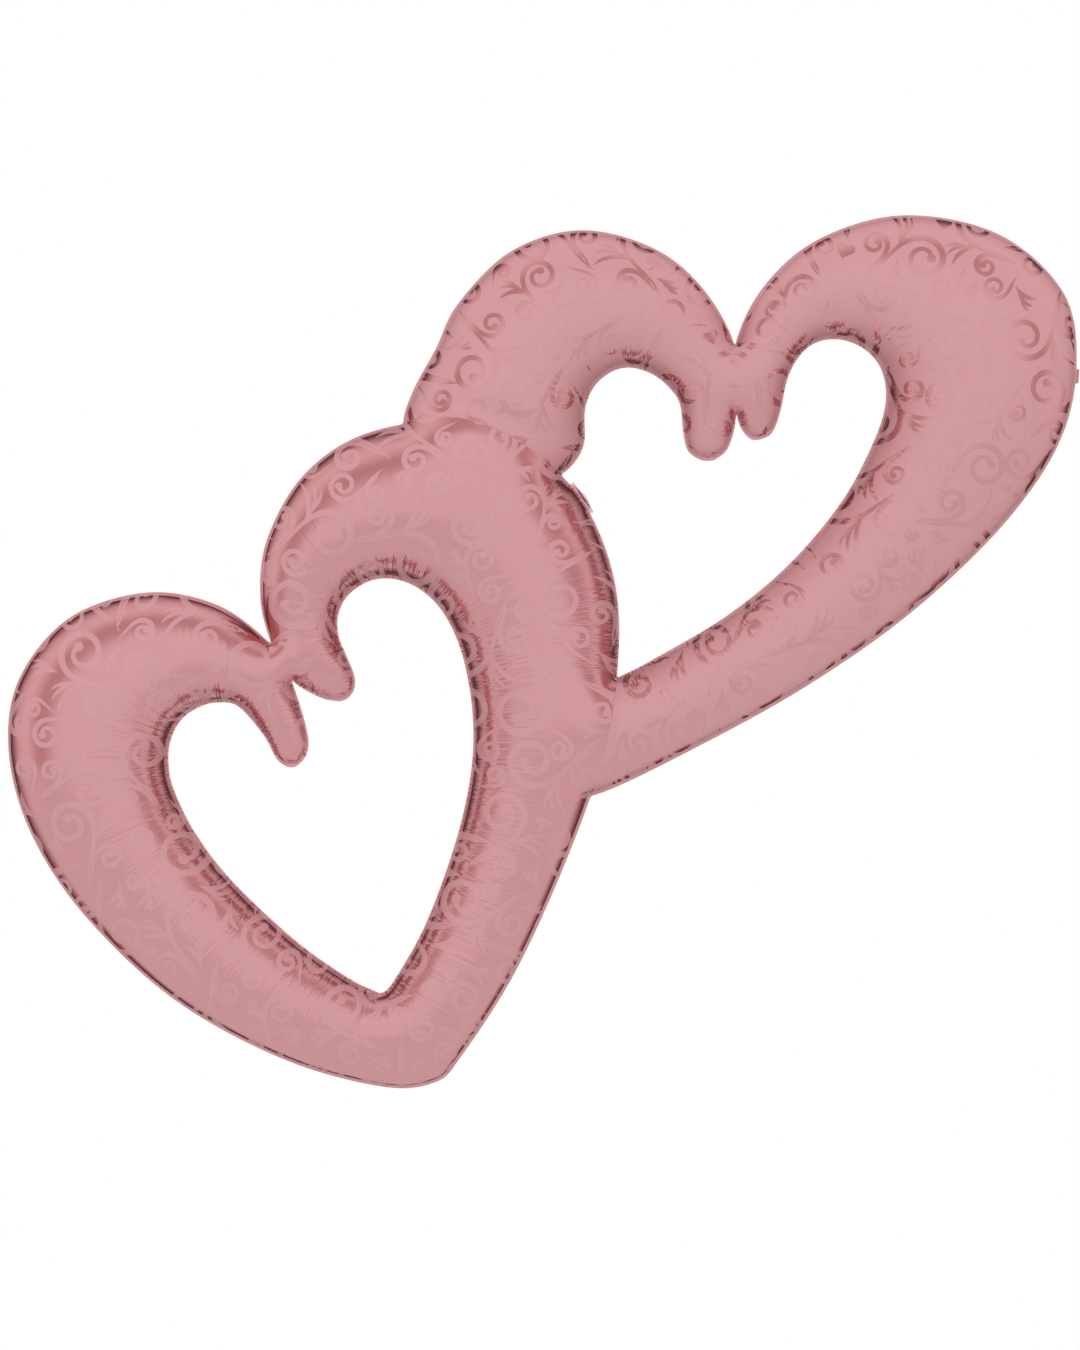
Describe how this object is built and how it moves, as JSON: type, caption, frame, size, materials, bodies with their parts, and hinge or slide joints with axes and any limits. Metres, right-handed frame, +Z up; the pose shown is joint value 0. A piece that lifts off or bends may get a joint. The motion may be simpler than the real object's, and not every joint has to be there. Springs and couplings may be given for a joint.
{
  "type": "foil balloon",
  "caption": "Flat foil balloon of linked open hearts with a fold-down filling neck, a self-sealing valve sleeve and a punched hang tab.",
  "frame": {"origin": "centre of the balloon's bounding box, in the plane of the sealed seam", "axes": "+X to the right along the width, +Y to the back through the thickness, so that the front faces -Y, +Z up as it hangs"},
  "size_m": [1.2862, 0.1738, 1.047],
  "materials": {
    "metallic_film": "metallised rose film, mirror bright with a soft blur",
    "satin_film": "pale satin ink over metallised film",
    "valve_film": "thin clear polyethylene"
  },
  "bodies": {
    "balloon": {"left_heart_front_film": "metallic_film", "left_heart_back_film": "metallic_film", "right_heart_front_film": "satin_film", "right_heart_back_film": "satin_film", "valve_front_film": "valve_film", "valve_back_film": "valve_film"},
    "neck": {"neck_front_film": "metallic_film", "neck_back_film": "metallic_film", "valve_front_tail": "valve_film", "valve_back_tail": "valve_film"},
    "tab": {"hang_tab": "satin_film"}
  },
  "joints": [
    {"name": "neck_fold", "type": "hinge", "parent": "balloon", "child": "neck", "pos_m": [0.04739, 0, 0.18565], "axis": [0.5671, 0, -0.8236], "range_deg": [0, 180]},
    {"name": "tab_fold", "type": "hinge", "parent": "balloon", "child": "tab", "pos_m": [0.64199, 0, 0.33072], "axis": [-0.0716, 0, -0.9974], "range_deg": [0, 180]}
  ]
}
